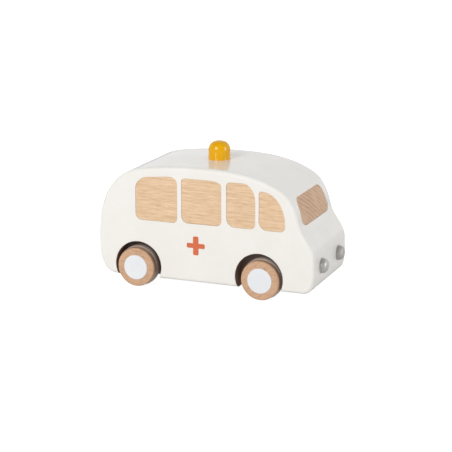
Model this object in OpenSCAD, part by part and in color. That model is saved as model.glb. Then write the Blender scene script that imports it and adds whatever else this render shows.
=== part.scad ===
// Wooden toy ambulance: a white painted beech block with let-in beech windows,
// a yellow roof beacon, two domed headlight studs and four wheels on two axles.
// +X is forward, +Y is the toy's left, Z = 0 is the floor, the origin is midway along it.

/* [Body] */
// Length of the wooden block from tail to nose
body_len = 148.6; // [132:0.1:166]
// Width of the block between its flat sides
body_w = 67.2; // [58:0.1:80]
// Height of the block from its underside to the roof crest
body_h = 75.5; // [68:0.1:84]
// Gap between the floor and the underside
ground_clear = 7; // [6:0.1:8]
// Radius of the softened edge round each flat side
edge_r = 2.6; // [1.5:0.1:3.2]

/* [Wheels] */
// Diameter of the wheels over their tyres
wheel_d = 26.9; // [25:0.1:29]
// Distance between the two axles
wheel_base = 86.2; // [78:0.1:94]
// Distance from the tail to the rear axle
rear_overhang = 27.3; // [24:0.1:31]
// Thickness of a whole wheel
wheel_w = 10.8; // [9.6:0.1:12]
// Thickness of the wooden disc in front of the tyre
disc_w = 3.8; // [3.2:0.1:4.6]
// How far the wheel's face stands out from the flat side
wheel_proud = 1.7; // [1:0.1:2.5]
// Rounding of the wooden disc's outer edge
disc_edge_r = 1.1; // [0.6:0.1:1.5]
// Radial thickness of the tyre ring
tyre_t = 3.4; // [2.6:0.1:4]
// How far the tyre stands out beyond the wooden disc
tyre_proud = 0.6; // [0.3:0.1:1]
// Rounding of the tyre's shoulders
tyre_edge_r = 1.2; // [0.8:0.1:1.8]
// Diameter of the white hub disc
hub_d = 16.4; // [14:0.1:17.5]
// Depth of the hub disc's seat in the wheel
hub_seat = 0.8; // [0.5:0.1:1.2]
// How far the hub disc stands out from the wheel's face
hub_proud = 0.4; // [0.2:0.1:0.8]
// Rounding of the hub disc's edge
hub_edge_r = 0.3; // [0.1:0.05:0.4]
// Diameter of the steel axles
axle_d = 4; // [3.4:0.1:4.8]
// Running clearance of an axle in the block, on the radius
axle_clear = 0.06; // [0.03:0.01:0.1]

/* [Wheel arches] */
// Room between the tyre and the arch
arch_room = 2.7; // [2.1:0.1:3.4]
// Shift of each arch towards the middle of the block
arch_shift = 1.2; // [0:0.1:1.8]
// Lift of each arch above its axle
arch_lift = 1; // [0.4:0.1:1.5]
// Gap between the back of a wheel and the arch's wall
arch_gap = 1; // [0.6:0.1:2]

/* [Windows] */
// Depth of the window pockets below the painted surface
pocket_depth = 1.7; // [1.2:0.1:2.4]
// How far the panels lie below the painted surface
panel_sunk = 0.35; // [0.2:0.05:0.6]
// Gap round a panel in its pocket
panel_clear = 0.05; // [0.03:0.01:0.1]
// Height of the window sill line above the underside
sill_h = 39; // [36:0.1:42]
// Rounding of the lower window corners towards the tail
window_corner = 5.8; // [4.4:0.1:6.6]
// Rounding of the lower window corners towards the nose
window_heel = 3.5; // [2.4:0.1:4.2]
// Rounding of the windscreen's and rear window's corners
screen_corner = 4.5; // [3:0.1:5.5]
// Height of the windscreen's lower edge above the underside
screen_low = 41.8; // [39:0.1:44]
// Height of the windscreen's upper edge above the underside
screen_high = 59.1; // [56:0.1:61]
// Width of the windscreen along its lower edge
screen_low_w = 54; // [48:0.1:58]
// Width of the windscreen along its upper edge
screen_high_w = 48; // [44:0.1:54]
// Height of the rear window's lower edge above the underside
rear_low = 40.6; // [38:0.1:43]
// Height of the rear window's upper edge above the underside
rear_high = 58.5; // [55:0.1:60]
// Width of the rear window along its lower edge
rear_low_w = 46; // [40:0.1:52]
// Width of the rear window along its upper edge
rear_high_w = 44; // [38:0.1:50]

/* [Beacon] */
// Diameter of the beacon
beacon_d = 14.3; // [12:0.1:17]
// Height of the beacon above the roof crest
beacon_h = 11.9; // [10:0.1:16]
// Height of the beacon's rounded crown
beacon_crown = 7; // [5:0.1:8]
// Distance from the tail to the beacon
beacon_x = 72; // [64:0.1:80]
// Depth of the flat seat for the beacon in the roof
beacon_seat = 0.3; // [0.2:0.05:0.6]
// Diameter of the tenon under the beacon
tenon_d = 8; // [6:0.1:10]
// Length of the tenon under the beacon
tenon_len = 11; // [8:0.1:16]

/* [Headlights] */
// Diameter of the headlight domes
lamp_d = 9.8; // [8:0.1:11]
// Height of the headlight domes
lamp_h = 5.2; // [4:0.1:6]
// Distance between the two headlights
lamp_gap = 33.4; // [28:0.1:38]
// Height of the headlights above the floor
lamp_z = 22.6; // [19:0.1:27]
// Depth of the flat seat for a headlight, measured from the nose
lamp_seat = 0.9; // [0.6:0.05:1.4]
// Diameter of the shank behind a headlight
shank_d = 5; // [3.6:0.1:6]
// Length of the shank behind a headlight
shank_len = 8; // [5:0.1:12]

/* [Hidden] */

$fn = 96;

// Steps along each stretch of the side outline, each window corner and each rounded edge
outline_steps = 9;
corner_steps = 8;
edge_steps = 4;

// Overrun of every cut past the face it opens
cut = 1;

// Sliver of the rounded edge that the flat sides trim off
side_trim = 0.05;

// Clearance of the tenon and the shanks in their blind holes, on the radius and at the end
peg_clear = 0.05;
peg_end = 0.5;

// Side outline of the block, from the underside behind the rear wheels, up the tail, along the
// roof and down the nose: share of the length, share of the height, heading in degrees
outline_shares = [
  [0.082, 0, 180],
  [0, 0.229, 90],
  [0.055, 0.7725, 56],
  [0.211, 0.962, 9],
  [0.464, 1, 0],
  [0.851, 0.8595, -31],
  [0.928, 0.615, -75],
  [0.953, 0.497, -55],
  [1, 0.297, -90],
  [0.951, 0, -180]
];

// Side windows from tail to nose. Shares of the block's length for the two sides and of its
// height for the two upper corners, then how far each upper corner is rounded, as shares of
// the window's own width and height: tail side first, nose side second. Last come the shares
// of the sill's height and of the rounding of the lower corner towards the tail.
window_shares = [
  [0.182, 0.379, 0.877, 0.912, 0.29, 0.27, 0.2, 0.18, 0.985, 0.74],
  [0.399, 0.5835, 0.902, 0.9015, 0.1, 0.09, 0.3, 0.11, 1, 0.76],
  [0.607, 0.738, 0.9025, 0.9025, 0.14, 0.09, 0.43, 0.39, 1.005, 1],
  [0.755, 0.8725, 0.847, 0.847, 0.1, 0.08, 0.87, 0.82, 1.005, 0.97]
];

// Handle of a cubic curve over its two legs for a quarter of an ellipse
quarter_share = 0.5523;

// Largest part of what one corner leaves of a window's edge that the next corner may take
edge_share = 0.95;

half_w = body_w / 2;
overall_len = body_len + lamp_h - lamp_seat;
tail_x = -overall_len / 2;
nose_x = tail_x + body_len;
crest_z = ground_clear + body_h;
axle_z = wheel_d / 2;
rear_axle_x = tail_x + rear_overhang;
front_axle_x = rear_axle_x + wheel_base;
face_y = half_w + wheel_proud;
wheel_back_y = face_y - wheel_w;
arch_wall_y = wheel_back_y - arch_gap;
arch_r = wheel_d / 2 + arch_room;
hub_floor_y = face_y - hub_seat;
drum_r = wheel_d / 2 - tyre_t;
axle_r = axle_d / 2;
lamp_seat_x = nose_x - lamp_seat;
beacon_seat_z = crest_z - beacon_seat;

function unit(v) = v / norm(v);

function heading(a) = [cos(a), sin(a)];

function left_of(v) = [-v.y, v.x];

// Point of a cubic curve
function cubic(a, b, c, d, t) =
  pow(1 - t, 3) * a + 3 * pow(1 - t, 2) * t * b + 3 * (1 - t) * t * t * c + pow(t, 3) * d;

function key_point(k) = [tail_x + k[0] * body_len, ground_clear + k[1] * body_h];

// Handle length that makes a cubic over this chord and turn follow a circular arc
function arc_handle(chord, turn) = chord * 2 / 3 / (1 + cos(turn / 2));

// Curve from one key of the outline to the next, without its last point
function stretch(k, l) =
  let (a = key_point(k), d = key_point(l))
  let (h = arc_handle(norm(d - a), k[2] - l[2]))
  [for (i = [0 : outline_steps - 1])
    cubic(a, a + h * heading(k[2]), d - h * heading(l[2]), d, i / outline_steps)];

last_key = len(outline_shares) - 1;
outline = [
  for (i = [0 : last_key - 1]) each stretch(outline_shares[i], outline_shares[i + 1]),
  key_point(outline_shares[last_key])
];
outline_n = len(outline);

// Outline moved into the block by a depth, along its own normals
function inner_outline(depth) = [
  for (i = [0 : outline_n - 1])
    let (before = outline[(i + outline_n - 1) % outline_n], after = outline[(i + 1) % outline_n])
    outline[i] - depth * left_of(unit(after - before))
];

// Rounded corner at c between the directions to its neighbours
function soft_corner(before, c, after, reach_in, reach_out) =
  let (a = c + reach_in * unit(before - c), d = c + reach_out * unit(after - c))
  [for (i = [0 : corner_steps])
    cubic(a, a + quarter_share * (c - a), d + quarter_share * (c - d), d, i / corner_steps)];

// Closed outline through corners given as place, reach along the edge in, reach along the edge out
function soft_outline(corners) =
  let (n = len(corners))
  [for (i = [0 : n - 1])
    each soft_corner(corners[(i + n - 1) % n][0], corners[i][0], corners[(i + 1) % n][0],
                     corners[i][1], corners[i][2])];

// Outline of side window i, grown all round by a gap
function window_outline(i, grow) =
  let (
    s = window_shares[i],
    tail = tail_x + s[0] * body_len - grow,
    nose = tail_x + s[1] * body_len + grow,
    sill = ground_clear + s[8] * sill_h - grow,
    toe = s[9] * window_corner,
    tail_top = ground_clear + s[2] * body_h + grow,
    nose_top = ground_clear + s[3] * body_h + grow,
    wide = nose - tail,
    tail_tall = tail_top - sill,
    nose_tall = nose_top - sill,
    heel = min(window_heel, edge_share * (1 - s[7]) * nose_tall)
  )
  soft_outline([
    [[tail, sill], toe, toe],
    [[tail, tail_top], s[5] * tail_tall, s[4] * wide],
    [[nose, nose_top], s[6] * wide, s[7] * nose_tall],
    [[nose, sill], heel, heel]
  ]);

// Outline across the toy of a window in the nose or tail, grown all round by a gap
function screen_outline(low, high, low_w, high_w, grow) =
  let (
    low_y = low_w / 2 + grow,
    high_y = high_w / 2 + grow,
    low_z = ground_clear + low - grow,
    high_z = ground_clear + high + grow
  )
  soft_outline([
    for (c = [[-low_y, low_z], [-high_y, high_z], [high_y, high_z], [low_y, low_z]])
      [c, screen_corner, screen_corner]
  ]);

// Plate of an upright outline drawn in X and Z, between two places across the toy
module plate(points, y_low, y_high)
  translate([0, y_high, 0])
    rotate([90, 0, 0])
      linear_extrude(y_high - y_low)
        polygon(points);

// Bar of an outline drawn in Y and Z, between two places along the toy
module bar(points, x_low, x_high)
  translate([x_low, 0, 0])
    rotate([90, 0, 90])
      linear_extrude(x_high - x_low)
        polygon(points);

// Round rod across the toy
module cross_rod(x, z, r, y_low, y_high)
  translate([x, y_high, z])
    rotate([90, 0, 0])
      cylinder(h = y_high - y_low, r = r);

// Solid turned about an axle from points of radius and distance out from the toy's middle
module turned(x, side, points)
  translate([x, 0, axle_z])
    rotate([-90 * side, 0, 0])
      rotate_extrude()
        polygon(points);

// Quarter round of radius r about c, from one angle to another
function round_edge(c, r, from, to) = [
  for (i = [0 : corner_steps]) c + r * heading(from + (to - from) * i / corner_steps)
];

// Block with soft edges, a little too wide: rings of the outline stepped in round the edges
module soft_block() {
  edge = [for (i = [0 : edge_steps]) 90 * i / edge_steps];
  rings = concat(
    [for (i = [edge_steps : -1 : 0]) [-1, edge[i]]],
    [for (a = edge) [1, a]]
  );
  ring_n = len(rings);
  points = [
    for (g = rings)
      let (y = g[0] * (half_w + side_trim - edge_r * (1 - sin(g[1]))))
      for (p = inner_outline(edge_r * (1 - cos(g[1])))) [p.x, y, p.y]
  ];
  sides = [
    for (j = [0 : ring_n - 2], i = [0 : outline_n - 1])
      let (k = (i + 1) % outline_n)
      [j * outline_n + i, (j + 1) * outline_n + i, (j + 1) * outline_n + k, j * outline_n + k]
  ];
  right_face = [for (i = [0 : outline_n - 1]) i];
  left_face = [for (i = [outline_n - 1 : -1 : 0]) (ring_n - 1) * outline_n + i];
  polyhedron(points, concat(sides, [right_face, left_face]));
}

// Slice of the block's skin between two depths, with the points of the outline from one key on
module skin(key, stretches, deep, shallow) {
  first = key * outline_steps;
  last = first + stretches * outline_steps;
  inner = inner_outline(deep);
  outer = inner_outline(shallow);
  plate(
    concat([for (i = [first : last]) inner[i]], [for (i = [last : -1 : first]) outer[i]]),
    -half_w, half_w
  );
}

// Windscreen or its pocket: the nose's skin inside the screen's outline
module screen_slice(deep, shallow, grow)
  intersection() {
    skin(5, 3, deep, shallow);
    bar(screen_outline(screen_low, screen_high, screen_low_w, screen_high_w, grow), 0, overall_len);
  }

// Rear window or its pocket: the tail's skin inside the window's outline
module rear_slice(deep, shallow, grow)
  intersection() {
    skin(1, 2, deep, shallow);
    bar(screen_outline(rear_low, rear_high, rear_low_w, rear_high_w, grow), -overall_len, 0);
  }

module body_block() {
  color("#f1eee9")
    difference() {
      intersection() {
        soft_block();
        translate([-overall_len, -half_w, 0])
          cube([2 * overall_len, body_w, 2 * crest_z]);
      }
      for (axle = [[rear_axle_x, 1], [front_axle_x, -1]]) {
        cross_rod(axle[0], axle_z, axle_r + axle_clear, -arch_wall_y - cut, arch_wall_y + cut);
        for (y = [-half_w - cut, arch_wall_y])
          cross_rod(axle[0] + axle[1] * arch_shift, axle_z + arch_lift, arch_r,
                    y, y + half_w + cut - arch_wall_y);
      }
      for (i = [0 : len(window_shares) - 1]) {
        plate(window_outline(i, panel_clear), -half_w - cut, -half_w + pocket_depth);
        plate(window_outline(i, panel_clear), half_w - pocket_depth, half_w + cut);
      }
      screen_slice(pocket_depth, -cut, panel_clear);
      rear_slice(pocket_depth, -cut, panel_clear);
      translate([tail_x + beacon_x, 0, beacon_seat_z]) {
        cylinder(h = beacon_seat + cut, d = beacon_d + 2 * peg_clear);
        translate([0, 0, -tenon_len - peg_end])
          cylinder(h = tenon_len + peg_end + cut, r = tenon_d / 2 + peg_clear);
      }
      for (y = [-lamp_gap / 2, lamp_gap / 2])
        translate([lamp_seat_x, y, lamp_z])
          rotate([0, 90, 0]) {
            cylinder(h = lamp_seat + cut, d = lamp_d + 2 * peg_clear);
            translate([0, 0, -shank_len - peg_end])
              cylinder(h = shank_len + peg_end + cut, r = shank_d / 2 + peg_clear);
          }
    }
}

// Beech panel of side window i, on the right (-1) or the left (1)
module side_window(side, i) {
  inner = half_w - pocket_depth;
  outer = half_w - panel_sunk;
  color("#e5c39e")
    plate(window_outline(i, 0), side > 0 ? inner : -outer, side > 0 ? outer : -inner);
}

module side_window_right_1() { side_window(-1, 0); }
module side_window_right_2() { side_window(-1, 1); }
module side_window_right_3() { side_window(-1, 2); }
module side_window_right_4() { side_window(-1, 3); }
module side_window_left_1() { side_window(1, 0); }
module side_window_left_2() { side_window(1, 1); }
module side_window_left_3() { side_window(1, 2); }
module side_window_left_4() { side_window(1, 3); }

module windscreen() { color("#c6a383") screen_slice(pocket_depth, panel_sunk, 0); }

module rear_window() { color("#c6a383") rear_slice(pocket_depth, panel_sunk, 0); }

// Steel axle that ends against the hub discs
module axle(x) { color("#b9bcc0") cross_rod(x, axle_z, axle_r, -hub_floor_y, hub_floor_y); }

module front_axle() { axle(front_axle_x); }
module rear_axle() { axle(rear_axle_x); }

// Beech wheel: a disc with a rounded edge, a drum behind it for the tyre, a seat for the hub disc
module wheel(x, side) {
  rim_r = wheel_d / 2 - tyre_proud;
  disc_back_y = face_y - disc_w;
  color("#d3ae8d")
    turned(x, side, concat(
      [
        [axle_r, wheel_back_y],
        [drum_r, wheel_back_y],
        [drum_r, disc_back_y],
        [rim_r, disc_back_y]
      ],
      round_edge([rim_r - disc_edge_r, face_y - disc_edge_r], disc_edge_r, 0, 90),
      [
        [hub_d / 2, face_y],
        [hub_d / 2, hub_floor_y],
        [axle_r, hub_floor_y]
      ]
    ));
}

module wheel_front_right() { wheel(front_axle_x, -1); }
module wheel_front_left() { wheel(front_axle_x, 1); }
module wheel_rear_right() { wheel(rear_axle_x, -1); }
module wheel_rear_left() { wheel(rear_axle_x, 1); }

// Dark tyre ring on the drum, up against the back of the disc
module tyre(x, side) {
  crown_r = wheel_d / 2 - tyre_edge_r;
  disc_back_y = face_y - disc_w;
  color("#3a302b")
    turned(x, side, concat(
      [[drum_r, wheel_back_y]],
      round_edge([crown_r, wheel_back_y + tyre_edge_r], tyre_edge_r, -90, 0),
      round_edge([crown_r, disc_back_y - tyre_edge_r], tyre_edge_r, 0, 90),
      [[drum_r, disc_back_y]]
    ));
}

module tyre_front_right() { tyre(front_axle_x, -1); }
module tyre_front_left() { tyre(front_axle_x, 1); }
module tyre_rear_right() { tyre(rear_axle_x, -1); }
module tyre_rear_left() { tyre(rear_axle_x, 1); }

// White disc let into the wheel's face, over the end of the axle
module hub_disc(x, side) {
  hub_r = hub_d / 2;
  outer_y = face_y + hub_proud;
  color("#eceef0")
    turned(x, side, concat(
      [[0, hub_floor_y], [hub_r, hub_floor_y]],
      round_edge([hub_r - hub_edge_r, outer_y - hub_edge_r], hub_edge_r, 0, 90),
      [[0, outer_y]]
    ));
}

module hub_disc_front_right() { hub_disc(front_axle_x, -1); }
module hub_disc_front_left() { hub_disc(front_axle_x, 1); }
module hub_disc_rear_right() { hub_disc(rear_axle_x, -1); }
module hub_disc_rear_left() { hub_disc(rear_axle_x, 1); }

// Full, squarish crown of the beacon
crown_power = 2.5;

// Yellow peg with a rounded crown and a tenon into the roof
module beacon() {
  beacon_r = beacon_d / 2;
  crown_z = beacon_h + beacon_seat - beacon_crown;
  crown = [
    for (i = [0 : 2 * corner_steps])
      let (a = 45 * i / corner_steps)
      [beacon_r * pow(cos(a), 2 / crown_power),
       crown_z + beacon_crown * pow(sin(a), 2 / crown_power)]
  ];
  color("#e6a810")
    translate([tail_x + beacon_x, 0, beacon_seat_z])
      rotate_extrude()
        polygon(concat(
          [[0, -tenon_len], [tenon_d / 2, -tenon_len], [tenon_d / 2, 0], [beacon_r, 0]],
          crown
        ));
}

// Blunt headlight domes
dome_power = 3;

// Silver dome with a shank into the nose
module headlight(y) {
  lamp_r = lamp_d / 2;
  dome = [
    for (i = [0 : 2 * corner_steps])
      let (a = 45 * i / corner_steps)
      [lamp_r * pow(cos(a), 2 / dome_power), lamp_h * pow(sin(a), 2 / dome_power)]
  ];
  color("#a8a9ab")
    translate([lamp_seat_x, y, lamp_z])
      rotate([0, 90, 0])
        rotate_extrude()
          polygon(concat([[0, -shank_len], [shank_d / 2, -shank_len], [shank_d / 2, 0]], dome));
}

module headlight_right() { headlight(-lamp_gap / 2); }
module headlight_left() { headlight(lamp_gap / 2); }

body_block();
side_window_right_1();
side_window_right_2();
side_window_right_3();
side_window_right_4();
side_window_left_1();
side_window_left_2();
side_window_left_3();
side_window_left_4();
windscreen();
rear_window();
front_axle();
rear_axle();
wheel_front_right();
wheel_front_left();
wheel_rear_right();
wheel_rear_left();
tyre_front_right();
tyre_front_left();
tyre_rear_right();
tyre_rear_left();
hub_disc_front_right();
hub_disc_front_left();
hub_disc_rear_right();
hub_disc_rear_left();
beacon();
headlight_right();
headlight_left();
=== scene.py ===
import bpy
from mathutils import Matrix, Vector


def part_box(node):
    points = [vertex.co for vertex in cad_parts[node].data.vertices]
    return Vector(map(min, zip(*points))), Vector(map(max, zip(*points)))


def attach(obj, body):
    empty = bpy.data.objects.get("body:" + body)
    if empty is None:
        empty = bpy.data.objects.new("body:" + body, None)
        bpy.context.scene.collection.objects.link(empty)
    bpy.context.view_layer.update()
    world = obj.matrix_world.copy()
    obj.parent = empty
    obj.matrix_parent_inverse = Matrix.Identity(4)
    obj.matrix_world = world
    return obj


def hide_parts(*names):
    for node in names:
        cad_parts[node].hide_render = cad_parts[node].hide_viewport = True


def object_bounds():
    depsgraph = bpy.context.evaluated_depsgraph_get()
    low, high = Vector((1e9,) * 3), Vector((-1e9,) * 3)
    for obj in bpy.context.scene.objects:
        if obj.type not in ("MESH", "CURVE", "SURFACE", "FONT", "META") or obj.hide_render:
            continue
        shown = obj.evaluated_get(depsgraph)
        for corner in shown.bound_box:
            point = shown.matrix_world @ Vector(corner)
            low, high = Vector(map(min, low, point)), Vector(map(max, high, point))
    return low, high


bl_info = {
    "name": "Wooden Toy Ambulance",
    "version": (1, 0, 0),
    "blender": (4, 5, 0),
    "location": "3D View > Sidebar > Ambulance",
    "description": "Dresses the toy ambulance: painted block, beech windows, wheels, beacon and lamps",
    "category": "Object",
}

import math

import bmesh
import bpy
from bpy.props import FloatProperty, FloatVectorProperty, PointerProperty
from mathutils import Euler, Vector
from mathutils.geometry import interpolate_bezier

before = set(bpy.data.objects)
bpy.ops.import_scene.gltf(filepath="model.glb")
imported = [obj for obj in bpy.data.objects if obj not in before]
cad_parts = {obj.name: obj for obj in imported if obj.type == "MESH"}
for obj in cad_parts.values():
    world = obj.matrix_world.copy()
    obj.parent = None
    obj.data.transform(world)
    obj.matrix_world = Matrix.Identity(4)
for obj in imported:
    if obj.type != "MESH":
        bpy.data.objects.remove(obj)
cad_low, cad_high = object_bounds()

MM = 0.001

# Hands of the toy and the way each looks across it
HANDS = {"right": -1, "left": 1}
WHEEL_BODIES = {"front": "front_wheelset", "rear": "rear_wheelset"}

block_low, block_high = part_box("body_block")
HALF_WIDTH = block_high.y
# Length that the shares of the side outline are taken of, as in the CAD
BLOCK_LENGTH = 148.6 * MM
BLOCK_HEIGHT = block_high.z - block_low.z

# Side outline of the block, from the underside behind the rear wheels, up the tail, along the
# roof and down the nose: share of the length, share of the height, heading in degrees
OUTLINE_SHARES = (
    (0.082, 0, 180),
    (0, 0.229, 90),
    (0.055, 0.7725, 56),
    (0.211, 0.962, 9),
    (0.464, 1, 0),
    (0.851, 0.8595, -31),
    (0.928, 0.615, -75),
    (0.953, 0.497, -55),
    (1, 0.297, -90),
    (0.951, 0, -180),
)
# Stretches of that outline that carry the rear window and the windscreen
TAIL_STRETCHES = slice(1, 3)
NOSE_STRETCHES = slice(5, 8)

# Side windows from tail to nose. Shares of the block's length for the two sides and of its
# height for the two upper corners, then how far each upper corner is rounded, as shares of
# the window's own width and height: tail side first, nose side second. Last comes the share
# of the rounding of the lower corner towards the tail.
WINDOW_SHARES = (
    (0.182, 0.379, 0.877, 0.912, 0.29, 0.27, 0.2, 0.18, 0.74),
    (0.399, 0.5835, 0.902, 0.9015, 0.1, 0.09, 0.3, 0.11, 0.76),
    (0.607, 0.738, 0.9025, 0.9025, 0.14, 0.09, 0.43, 0.39, 1),
    (0.755, 0.8725, 0.847, 0.847, 0.1, 0.08, 0.87, 0.82, 0.97),
)

WINDOW_NUMBERS = range(1, len(WINDOW_SHARES) + 1)

# Handle of a cubic curve over its two legs for a quarter of an ellipse
QUARTER_SHARE = 0.5523

# Steps along each stretch of the outline, window corner, small rounding, rounded edge of the
# block, dome, straight side of a screen and full turn
OUTLINE_STEPS = 18
CORNER_STEPS = 10
ROUND_STEPS = 5
EDGE_STEPS = 8
DOME_STEPS = 24
SIDE_STEPS = 8
TURN_STEPS = 96

# How far a cutter runs past the face that it opens, the seat of a peg past the curved face above
# it, and a rounded lip past the face that it ends in
OVERRUN = 1 * MM
SEAT_OVERRUN = 4 * MM
LIP_OVERRUN = 0.025 * MM
# Points closer than this are one point
MERGE = 0.0005 * MM
# Edges that turn by more than this stay crisp
CRISP = math.radians(38)

# Depth of the relief on brushed paint, on lacquer, on bare wood and rubber, and on drawn steel
BRUSHED_RELIEF = 0.012 * MM
LACQUER_RELIEF = 0.01 * MM
ROUGH_RELIEF = 0.03 * MM
DRAWN_RELIEF = 0.004 * MM

# Way from the heart of the tree to the toy's origin, in millimetres. The heart lies off the block,
# so the rings cross the screens at a slant.
HEART_AWAY = (0, 143, 155)

# Grain of the wheels: turn of the first, turn and step in the plank from one to the next
FIRST_TURN = math.radians(35)
NEXT_TURN = math.radians(67)
PLANK_STEP = 31 * MM

# Softboxes: turn towards the nose from square to the right side, lift, both in degrees, and
# shares of the width and of the power
SOFTBOXES = {
    "left": (-14, 24, 1.0, 1.0),
    "right": (90, 12, 0.9, 0.42),
}


def linear(level):
    """Linear light for a display level from 0 to 255."""
    share = level / 255
    if share <= 0.04045:
        return share / 12.92
    return ((share + 0.055) / 1.055) ** 2.4


def number(name, description, default, **options):
    """Number property that is not negative, unless its options say otherwise."""
    return FloatProperty(name=name, description=description, default=default, **{"min": 0, **options})


def length(name, description, millimetres, **options):
    """Length property with its default in millimetres."""
    return number(name, description, millimetres * MM, unit="LENGTH", precision=5, **options)


def colour(name, description, *levels):
    """Colour property with its default in display levels."""
    light = [linear(level) for level in levels]
    return FloatVectorProperty(
        name=name, description=description, default=light, size=3, subtype="COLOR", min=0, max=1
    )


class BlockSettings(bpy.types.PropertyGroup):
    """Sizes and colours of the painted block."""

    edge_round: length("Edge round", "Rounding of the edge round each flat side", 2.6)
    arch_lip: length("Arch lip", "Rounding of the painted edge of a wheel arch", 0.4)
    arch_radius: length("Arch radius", "Radius of a wheel arch", 16.15)
    arch_shift: length("Arch shift", "Shift of an arch towards the middle of the block", 1.2)
    arch_lift: length("Arch lift", "Lift of an arch above its axle", 1)
    arch_gap: length("Arch gap", "Gap between the back of a wheel and the arch's wall", 1)
    axle_gap: length("Axle gap", "Room round an axle in the block", 0.06)
    peg_gap: length("Peg gap", "Room round a tenon or shank in its hole", 0.05)
    peg_end: length("Peg end", "Room at the end of a tenon or shank", 0.5)
    paint: colour("Paint", "Warm white of the block", 238, 235, 230)
    paint_shade: colour("Paint shade", "Slightly deeper white of thin spots in the paint", 235, 232, 226)
    # Stain inside the wheel arches, darkened further as painted shade of the deep arches
    arch_stain_and_shade: colour("Arch stain", "Brown stain inside the wheel arches", 126, 104, 92)


class PanelSettings(bpy.types.PropertyGroup):
    """Sizes and colours of the let-in beech windows."""

    depth: length("Pocket depth", "Depth of a window pocket below the paint", 1.7)
    sunk: length("Sunk", "How far a panel lies below the paint", 0.35)
    gap: length("Gap", "Gap round a panel in its pocket", 0.05)
    lip: length("Lip", "Rounding of the painted edge of a pocket", 0.22)
    rim: length("Rim", "Rounding of a panel's own edge", 0.18)
    corner: length("Corner", "Rounding of lower window corners towards the tail", 5.8)
    heel: length("Heel", "Rounding of lower window corners towards the nose", 3.5)
    screen_corner: length("Screen corner", "Rounding of the screens' upper corners", 4.5)
    screen_foot: length("Screen foot", "Rounding of the screens' lower corners along their sill", 7.5)
    screen_side: length("Screen side", "Rounding of the screens' lower corners up their sides", 4.5)
    screen_taper: length("Screen taper", "How much narrower the windscreen is along its head", 6)
    rear_taper: length("Rear taper", "How much narrower the rear window is along its head", 2)
    pale: colour("Pale beech", "Light wood between the bands of the grain", 237, 207, 173)
    deep: colour("Deep beech", "Darker wood in the bands of the grain", 206, 167, 126)
    fleck: colour("Fleck", "Small brown flecks of beech", 178, 132, 92)
    freckled: number("Freckled", "Strength of the flecks", 0.28)
    end_pale: colour("Pale end grain", "Light wood of the cross grain", 218, 183, 153)
    end_deep: colour("Deep end grain", "Ring lines of the cross grain", 190, 152, 122)


class WheelSettings(bpy.types.PropertyGroup):
    """Sizes and colours of wheels, tyres, hub discs and axles."""

    tyre_thick: length("Tyre thickness", "Thickness of the tyre ring from drum to tread", 3.4)
    tyre_round: length("Tyre round", "Rounding of the tyre's shoulders", 2.6)
    disc_round: length("Disc round", "Rounding of the wheel's front edge", 1.1)
    disc_back_round: length("Disc back round", "Rounding of the wheel's back edge", 0.35)
    seat_round: length("Seat round", "Rounding of the edge of the hub seat", 0.15)
    hub_round: length("Hub round", "Rounding of the hub disc's edge", 0.3)
    pale: colour("Wheel beech", "Wood of the wheels", 210, 171, 138)
    deep: colour("Deep wheel beech", "Darker wood in the wheels' grain", 192, 151, 117)
    fleck: colour("Wheel fleck", "Small brown flecks in the wheels", 146, 102, 68)
    freckled: number("Freckled", "Strength of the wheels' flecks", 0.9)
    tyre: colour("Tyre", "Brown-grey tyre", 182, 166, 156)
    hub: colour("Hub", "Cool white of the hub discs", 232, 234, 237)
    steel: colour("Steel", "Bright steel of the axles", 190, 192, 196)


class LampSettings(bpy.types.PropertyGroup):
    """Sizes and colours of the beacon and the headlights."""

    beacon_crown: length("Beacon crown", "Height of the beacon's rounded crown", 7)
    beacon_fullness: number("Beacon fullness", "Shape of its crown: 2 is a ball, more is squarer", 2.5)
    beacon_base: length("Beacon base", "Rounding of the beacon's lower edge", 0.12)
    tenon_long: length("Tenon", "Length of the tenon under the beacon", 11)
    tenon_wide: length("Tenon width", "Diameter of the tenon under the beacon", 8)
    dome_high: length("Dome", "Height of a headlight dome", 5.2)
    dome_fullness: number("Dome fullness", "Shape of the domes: 2 is a ball, more is blunter", 3.0)
    shank_long: length("Shank", "Length of the shank behind a headlight", 8)
    shank_wide: length("Shank width", "Diameter of the shank behind a headlight", 5)
    shank_round: length("Shank round", "Rounding of the end of a shank", 0.3)
    yellow: colour("Yellow", "Paint of the beacon", 231, 173, 3)
    yellow_deep: colour("Deep yellow", "Deeper spots in the beacon's paint", 226, 164, 2)
    silver: colour("Silver", "Paint of the headlights", 197, 194, 190)


class PlusSettings(bpy.types.PropertyGroup):
    """Place, sizes and colour of the first-aid plus on each side."""

    along: length("Along", "Place of the plus along the toy", -7.25, min=-1)
    height: length("Height", "Height of the middle of the plus above the floor", 31.6)
    tall: length("Tall", "Height of the upright bar", 12.4)
    wide: length("Wide", "Length of the cross bar", 12.5)
    upright: length("Upright", "Width of the upright bar", 3.8)
    bar: length("Bar", "Thickness of the cross bar", 3.2)
    end_round: length("End round", "Rounding of the bars' ends", 0.9)
    inner_round: length("Inner round", "Rounding where the bars meet", 0.3)
    thick: length("Thickness", "Thickness of the printed paint", 0.06)
    orange: colour("Orange", "Paint of the plus", 216, 108, 66)
    orange_deep: colour("Deep orange", "Deeper spots in the paint of the plus", 206, 100, 58)


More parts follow.
